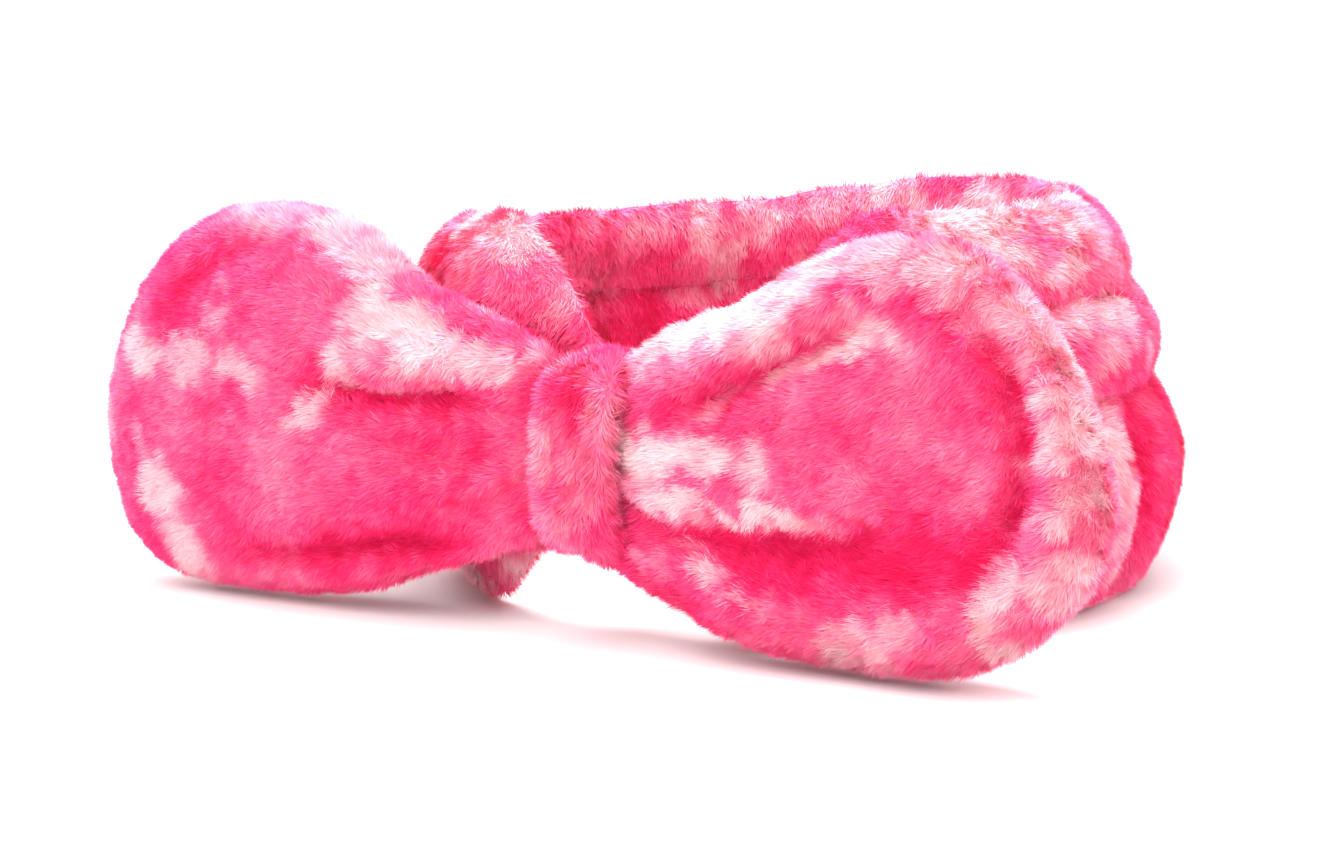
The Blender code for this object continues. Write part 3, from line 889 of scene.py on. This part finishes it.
def shape_loop(loop, skin):
    """Draws the creases, the gathers at the knot and the sunken middle into a swollen loop."""
    points = read_points(skin.data)
    x, z = points[:, 0] - KNOT_X, points[:, 2]
    scale = loop.scale_at(x, z)
    front = points[:, 1] < BOW_Y
    inside = np.minimum(1.0, 1.5 * np.sqrt(np.maximum(0.0, 1.0 - scale**3)))
    fan = (z - 41.0) / (np.abs(x) + 6.0) * 40.0
    pleats = 4.0 * noise(places(fan, np.where(front, 3.0, 40.0), 0.0), 6.0, 63)
    pleats = pleats * np.exp(-np.maximum(np.abs(x) - 12.0, 0.0) / 20.0)
    turn = np.arctan2(z - loop.centre[1], x - loop.centre[0])
    rim = places(np.cos(turn) * 45.0, np.sin(turn) * 45.0, 0.0)
    far = ease(loop.sign * x, 60.0, 90.0) * ease(scale, 0.74, 0.9)
    raised = pleats + 1.4 * noise(points, 22.0, 65) + loop.ripple * noise(rim, 4.6, 69) * far
    sunk = loop.dip * (1.0 - ease(scale, 0.45, 0.82))
    for crease in loop.creases:
        valley, lip = crease_shape(x, z, crease)
        sunk = sunk + crease[1] * valley - crease[3] * lip
    forward = (raised - np.where(front, sunk, 0.0)) * inside
    points[:, 1] += np.where(front, -forward, forward)
    skin_depth = np.where(front, BOW_Y - points[:, 1], points[:, 1] - BOW_Y)
    points[:, 1] += np.where(front, -1.0, 1.0) * np.maximum(0.0, 1.2 * inside - skin_depth)
    points[:, 2] = np.maximum(points[:, 2], FLOOR_LIFT)
    write_points(skin.data, points)


def loop_flow(points, normals):
    """The bow is one length of cloth, so the pile of both loops lies the same way along it."""
    fan = (points[:, 2] - 42.0) * 0.012 * np.sign(KNOT_X - points[:, 0])
    return places(-1.0, 0.0, fan - 0.4)


# Creases of the loops: path across and up, depth, half width, height of the lip beside it.
LEFT_CREASES = (
    (((-104, 62), (-98, 71), (-91, 77), (-80, 79.5), (-67, 77)), 2.4, 3.4, 1.0),
    (((-66, 55), (-57, 51.5), (-48, 50), (-33, 50.5), (-18, 49)), 6.0, 3.8, 2.2),
    (((-92, 13), (-80, 14), (-66, 15.5), (-50, 18), (-32, 19), (-14, 25)), 5.0, 3.8, 1.4),
    (((-14, 40), (-30, 40), (-46, 41)), 2.0, 3.5, 0.6),
)
RIGHT_CREASES = (
    (((20, 50), (28, 53), (38, 56), (51, 63), (60, 68), (70, 73.5), (82, 76)), 5.6, 3.6, 2.2),
    (((84, 80), (93, 76), (100, 67), (104.5, 55), (105, 43), (102, 31), (96, 22)), 5.6, 3.8, 2.0),
    (((12, 26), (30, 26.5), (43, 26), (58, 27), (74, 28.5), (92, 29)), 6.5, 5.2, 1.6),
)


# ---- knot ----

KNOT_TURNS = 120
KNOT_COLUMNS = 40
KNOT_FRONT_TRIM = 3.0
KNOT_LOW_TRIM = 1.5


def knot_ring(angle, across, raise_by):
    """A point of the wrap: angle round the strap, across its width, raised off its middle line."""
    front, back = knot_low[1] + KNOT_FRONT_TRIM, knot_high[1]
    bottom, top = knot_low[2] + KNOT_LOW_TRIM, knot_high[2]
    square = 3.0
    c, s = np.cos(angle), np.sin(angle)
    y_share = np.sign(c) * np.abs(c) ** (2 / square)
    z_share = np.sign(s) * np.abs(s) ** (2 / square)
    y = (front + back) / 2 + ((back - front) / 2 + raise_by) * y_share
    z = (bottom + top) / 2 + ((top - bottom) / 2 + raise_by) * z_share
    return places(KNOT_X + KNOT_SHIFT + across, y, z)


def knot_points(angle, section):
    """Points of the strap's skin: angle round the strap and angle round its own section."""
    across = KNOT_HALF_WIDTH * np.sin(section)
    outer = np.cos(section)
    ring = knot_ring(angle, across, np.zeros(len(across)))
    folds = 2.2 * noise(places(across * 1.3, ring[:, 1] * 0.25, ring[:, 2] * 0.25), 5.5, 67)
    folds += 0.9 * noise(ring, 9.0, 68)
    valley = (across + 1.0 - 0.12 * (ring[:, 2] - 40.0)) / 4.2
    folds -= 1.3 * np.exp(-(valley**2)) * ease(ring[:, 2], 26.0, 46.0)
    plump = np.where(outer > 0, 4.6 * np.abs(outer) ** 0.7, -1.2 * np.abs(outer))
    lift = plump - 5.4 + np.where(outer > 0, folds * outer, 0.0)
    return knot_ring(angle, across, lift)


def build_knot_skin(material):
    """A plump strap with soft folds that run round it."""
    angles = np.arange(KNOT_TURNS) * math.tau / KNOT_TURNS
    sections = np.arange(KNOT_COLUMNS) * math.tau / KNOT_COLUMNS
    faces = grid_faces(KNOT_TURNS, KNOT_COLUMNS, True, True)
    return add_mesh("knot_wrap_plush", knot_points(*pairs(angles, sections)), faces, material)


def knot_flow(points, normals):
    """The pile is brushed down the strap and out over its -X edge."""
    sideways = (points[:, 0] - KNOT_X - KNOT_SHIFT) / KNOT_HALF_WIDTH
    return places(np.clip(sideways, -1.0, 0.2) - 0.1, 0.0, -0.7)


def build_waist(material):
    """The bow's middle inside the knot: a short barrel drawn into pleats."""
    low, high = (np.array(c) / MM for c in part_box("bow_waist"))
    middle, half = (low + high) / 2, (high - low) / 2
    angles = np.arange(96) * math.tau / 96
    shares = np.linspace(-1.0, 1.0, 13)
    rows = []
    for share in shares:
        reach = 0.6 + 0.05 * np.cos(angles * 12.0) + 0.03 * np.sin(angles * 5.0 + share)
        reach = reach * (1.0 if abs(share) < 0.99 else 0.8)
        x = KNOT_X + KNOT_SHIFT + share * 0.7 * KNOT_HALF_WIDTH
        y = middle[1] + np.cos(angles) * reach * half[1]
        z = middle[2] + np.sin(angles) * reach * half[2]
        rows.append(places(x, y, z))
    faces = grid_faces(len(shares), len(angles), False, True)
    faces = capped(faces, len(shares), len(angles))
    return add_mesh("bow_waist_pleats", np.concatenate(rows), faces, material)


# ---- thread, elastic and padding ----

THREAD_SIDES = 6
THREAD_RADIUS = 0.3
OVERLOCK_RADIUS = 0.28
ROW_STITCHES = 150
OVERLOCK_STITCHES = 80
ELASTIC_STEPS = 9
ELASTIC_HALF = 0.5


def capped(faces, rows, columns):
    """The faces of a tube with its two ends closed."""
    last = (rows - 1) * columns
    return [*faces, list(range(columns))[::-1], list(range(last, last + columns))]


def build_thread(name, path, radius, material, closed):
    """A round thread along a path of points."""
    path = np.asarray(path, float)
    ahead = np.roll(path, -1, axis=0) - np.roll(path, 1, axis=0)
    if not closed:
        ahead[0], ahead[-1] = path[1] - path[0], path[-1] - path[-2]
    ahead = unit(ahead)
    side = unit(np.cross(ahead, np.array((0.3, 0.2, 0.93))))
    up = np.cross(side, ahead)
    angles = np.arange(THREAD_SIDES) * math.tau / THREAD_SIDES
    rings = [path + (side * math.cos(a) + up * math.sin(a)) * radius for a in angles]
    points = np.stack(rings, axis=1).reshape(-1, 3)
    faces = grid_faces(len(path), THREAD_SIDES, closed, True)
    if not closed:
        faces = capped(faces, len(path), THREAD_SIDES)
    return add_mesh(name, points, faces, material)


def row_thread(name, height, side, material):
    """One thread of a stitch row: it shows on the face and dips into the cloth at each stitch."""
    count = ROW_STITCHES * 6
    turn = np.arange(count) * 360.0 / count
    surface = band_points(turn, np.full(count, height), side)
    dip = 0.15 + 0.45 * np.cos(np.radians(turn) * ROW_STITCHES)
    path = surface + outward(surface) * (side * dip)[:, None]
    return build_thread(name, path, THREAD_RADIUS, material, True)


def build_elastic(material):
    """The flat strip in the channel, midway between the skins, drawn into small waves by its own pull."""
    turn = np.arange(360.0)
    up = np.linspace(ELASTIC_LOW, ELASTIC_HIGH, ELASTIC_STEPS)
    heights = np.concatenate([up, up[::-1]])
    face = np.repeat((ELASTIC_HALF, -ELASTIC_HALF), ELASTIC_STEPS)
    grid_turn, grid_height = pairs(turn, heights)
    wave = 0.3 * np.sin(np.radians(grid_turn) * 60.0)
    middle = (band_points(grid_turn, grid_height, 1) + band_points(grid_turn, grid_height, -1)) / 2
    points = middle + outward(middle) * (np.tile(face, len(turn)) + wave)[:, None]
    faces = grid_faces(len(turn), len(heights), True, True)
    return add_mesh("elastic_woven_strip", points, faces, material)


def rear_seam(material):
    """The zigzag that joins the band's ends, inside it at the rear."""
    count = 120
    share = np.arange(count) / (count - 1)
    heights = 3.0 + share * (BAND_TOP - 8.0)
    turn = 180.0 + 0.9 * np.where(np.arange(count) % 2 == 0, 1.0, -1.0)
    outer, inner = band_points(turn, heights, 1), band_points(turn, heights, -1)
    return build_thread("band_closing_zigzag", outer * 0.35 + inner * 0.65, THREAD_RADIUS, material, False)


def closing_stitches(material):
    """The zigzag across the strap's rear that closes it, under the pile."""
    count = 17
    angle = np.where(np.arange(count) % 2 == 0, 0.02, -0.02)
    path = knot_points(angle, np.linspace(-1.1, 1.1, count))
    path[:, 1] += 0.2
    return build_thread("knot_closing_zigzag", path, THREAD_RADIUS, material, False)


def edge_stitches(loop, material):
    """The overlocked edge inside a loop's rim."""
    count = 640
    angle = np.arange(count) * math.tau / count - math.pi
    wave = angle * OVERLOCK_STITCHES
    x, z = loop.position(angle, 0.955 + 0.012 * np.sin(wave))
    path = places(KNOT_X + x, BOW_Y + 1.3 * np.cos(wave), z)
    return build_thread(f"{loop.side}_loop_overlock", path, OVERLOCK_RADIUS, material, True)


# The filling's size beside its skin's, across the face and through it.
FILLING_FACE = 0.93
FILLING_DEPTH = 0.48


def loop_filling(loop, skin, material):
    """The lump of fibre that fills a loop, inside its skin."""
    made = add_object(f"{loop.side}_loop_filling", skin.data.copy())
    made.data.name = made.name
    points = read_points(made.data)
    x, z = points[:, 0] - KNOT_X - loop.centre[0], points[:, 2] - loop.centre[1]
    points[:, 0] = KNOT_X + loop.centre[0] + x * FILLING_FACE
    points[:, 1] = BOW_Y + (points[:, 1] - BOW_Y) * (FILLING_DEPTH + 0.06 * noise(points, 9.0, 91))
    points[:, 2] = loop.centre[1] + z * FILLING_FACE
    write_points(made.data, points)
    made.data.materials.clear()
    made.data.materials.append(material)
    return made


# ---- assembly ----


def face_outward(item):
    """Turns a closed mesh's faces out if they point in."""
    points, triangles, _ = mesh_arrays(item)
    a, b, c = (points[triangles[:, k]] for k in range(3))
    if dot(a, np.cross(b, c)).sum() < 0.0:
        item.data.flip_normals()


def join_band(piece):
    """Bakes a band piece's placement into its own points."""
    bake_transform(piece)


def join_loop(piece):
    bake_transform(piece)


# Fibres to a square millimetre, and the knot's longer, more upright pile.
BAND_DENSITY = 8.0
BOW_DENSITY = 12.0
KNOT_PILE_LENGTH = 2.8
KNOT_PILE_LEAN = 48.0


def build_band(ground, shades, thread):
    band = build_band_skin(ground)
    face_outward(band)
    paint_dye_and_shade(band, band_dye_and_shade)
    piles = grow_pile("band_pile", band, band_dye_and_shade, band_flow, BAND_DENSITY, shades, parts=5)
    panels = [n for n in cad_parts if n.startswith("band_") and n.endswith("_panel")]
    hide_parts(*panels)
    for piece in [band, *piles]:
        join_band(piece)

    inside = []
    for row, height in (("lower", LOWER_ROW), ("upper", UPPER_ROW)):
        for kind, side in (("needle", 1), ("bobbin", -1)):
            piece = row_thread(f"{row}_row_{kind}_stitches", height, side, thread)
            inside.append((piece, f"{row}_row_{kind}_thread", "thread"))
    inside.append((rear_seam(thread), "band_rear_closing_seam", "thread"))
    strip = build_elastic(woven_material())
    face_outward(strip)
    inside.append((strip, "elastic_strip", "elastic"))
    for piece, node, slot in inside:
        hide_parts(node)
        join_band(piece)


def build_loop(loop, dye_and_shade, ground, shades, thread, fibre):
    skin = build_loop_skin(loop, ground)
    face_outward(skin)
    inflate(skin, lambda points: 1.0 - ease(np.abs(points[:, 0] - KNOT_X), 16.0, 34.0))
    shape_loop(loop, skin)
    filling = loop_filling(loop, skin, fibre)
    stitches = edge_stitches(loop, thread)
    paint_dye_and_shade(skin, dye_and_shade)
    piles = grow_pile(f"{loop.side}_loop_pile", skin, dye_and_shade, loop_flow, BOW_DENSITY, shades, parts=2)
    for piece in [skin, filling, stitches, *piles]:
        join_loop(piece)
    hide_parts(f"{loop.side}_loop_front_panel", f"{loop.side}_loop_back_panel")
    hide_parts(f"{loop.side}_loop_padding")
    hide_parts(f"{loop.side}_loop_edge_seam")


def build_knot(ground, shades, thread):
    knot = build_knot_skin(ground)
    face_outward(knot)
    paint_dye_and_shade(knot, knot_dye_and_shade)
    piles = grow_pile(
        "knot_wrap_pile", knot, knot_dye_and_shade, knot_flow, BOW_DENSITY, shades,
        length=KNOT_PILE_LENGTH, lean=KNOT_PILE_LEAN,
    )
    for piece in [knot, *piles]:
        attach(piece, "front_band")
    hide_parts("knot_wrap")
    waist = build_waist(ground)
    face_outward(waist)
    paint_dye_and_shade(waist, knot_dye_and_shade)
    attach(waist, "front_band")
    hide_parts("bow_waist")
    stitches = closing_stitches(thread)
    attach(stitches, "front_band")
    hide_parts("knot_wrap_closing_stitches")


def build_headband():
    ground = plush_skin_material()
    shades = pile_materials()
    thread = fibre_material("pink_thread", linear(232, 84, 132), linear(250, 150, 184), 2600.0)
    fibre = fibre_material("fibre_filling", linear(226, 224, 220), linear(250, 249, 247), 420.0)
    left = Loop("left", (-80, 44), LEFT_CREASES, 0.0, 10.0, 1.2, 2.6, 0.3)
    right = Loop("right", (73, 43), RIGHT_CREASES, 5.0, 8.0, 1.0, 0.0, 1.5)
    build_loop(left, loop_dye_and_shade(left, LEFT_SPOTS, LEFT_PAINTED_SHADE), ground, shades, thread, fibre)
    build_loop(right, loop_dye_and_shade(right, RIGHT_SPOTS, RIGHT_PAINTED_SHADE), ground, shades, thread, fibre)
    build_band(ground, shades, thread)
    build_knot(ground, shades, thread)


# ---- floor, light and camera ----

# Metres, degrees and, for the lens, millimetres.
CAMERA_PLACE = (0.3453, -0.5882, 0.1355)
CAMERA_TURN = 32.12
CAMERA_DIP = 8.40
CAMERA_LENS = 78.9
FLOOR_SIZE = 120.0
FLOOR_HEIGHT = -0.0004


def build_stage():
    scene = bpy.context.scene
    scene.view_settings.view_transform = "Standard"
    world = bpy.data.worlds.new("soft_room")
    scene.world = world
    world.use_nodes = True
    sky = world.node_tree.nodes["Background"]
    set_inputs(sky, {"Color": (1.0, 1.0, 1.0, 1.0), "Strength": 1.12})

    half = FLOOR_SIZE / 2
    mesh = bpy.data.meshes.new("floor")
    corners = [(-half, -half, 0), (half, -half, 0), (half, half, 0), (-half, half, 0)]
    mesh.from_pydata(corners, [], [(0, 1, 2, 3)])
    floor = add_object("floor", mesh)
    floor.location.z = FLOOR_HEIGHT
    paint = bpy.data.materials.new("floor_paint")
    paint.use_nodes = True
    shader = paint.node_tree.nodes["Principled BSDF"]
    set_inputs(shader, {"Base Color": (0.93, 0.93, 0.93, 1.0), "Roughness": 0.9})
    mesh.materials.append(paint)

    add_area_light("key", (-0.1, -0.9, 0.85), 0.9, 7.0)
    add_area_light("fill", (0.9, -0.5, 0.6), 1.0, 1.5)
    add_area_light("back", (0.2, 0.9, 0.8), 1.0, 5.0)
    add_area_light("ring", (0.0, -0.02, 0.34), 0.15, 1.1)
    add_area_light("top", (0.0, -0.2, 1.2), 1.0, 8.0)

    camera = add_object("camera", bpy.data.cameras.new("camera"))
    camera.data.lens = CAMERA_LENS
    camera.data.sensor_width = 36.0
    camera.data.clip_start = 0.01
    camera.location = CAMERA_PLACE
    camera.rotation_euler = (math.radians(90.0 - CAMERA_DIP), 0.0, math.radians(CAMERA_TURN))
    scene.camera = camera


def add_area_light(name, place, size, power):
    light = bpy.data.lights.new(name, "AREA")
    light.size = size
    light.energy = power
    item = add_object(name, light)
    item.location = place
    aim = Vector((0.0, 0.0, 0.04)) - Vector(place)
    item.rotation_euler = aim.to_track_quat("-Z", "Y").to_euler()


build_stage()
build_headband()
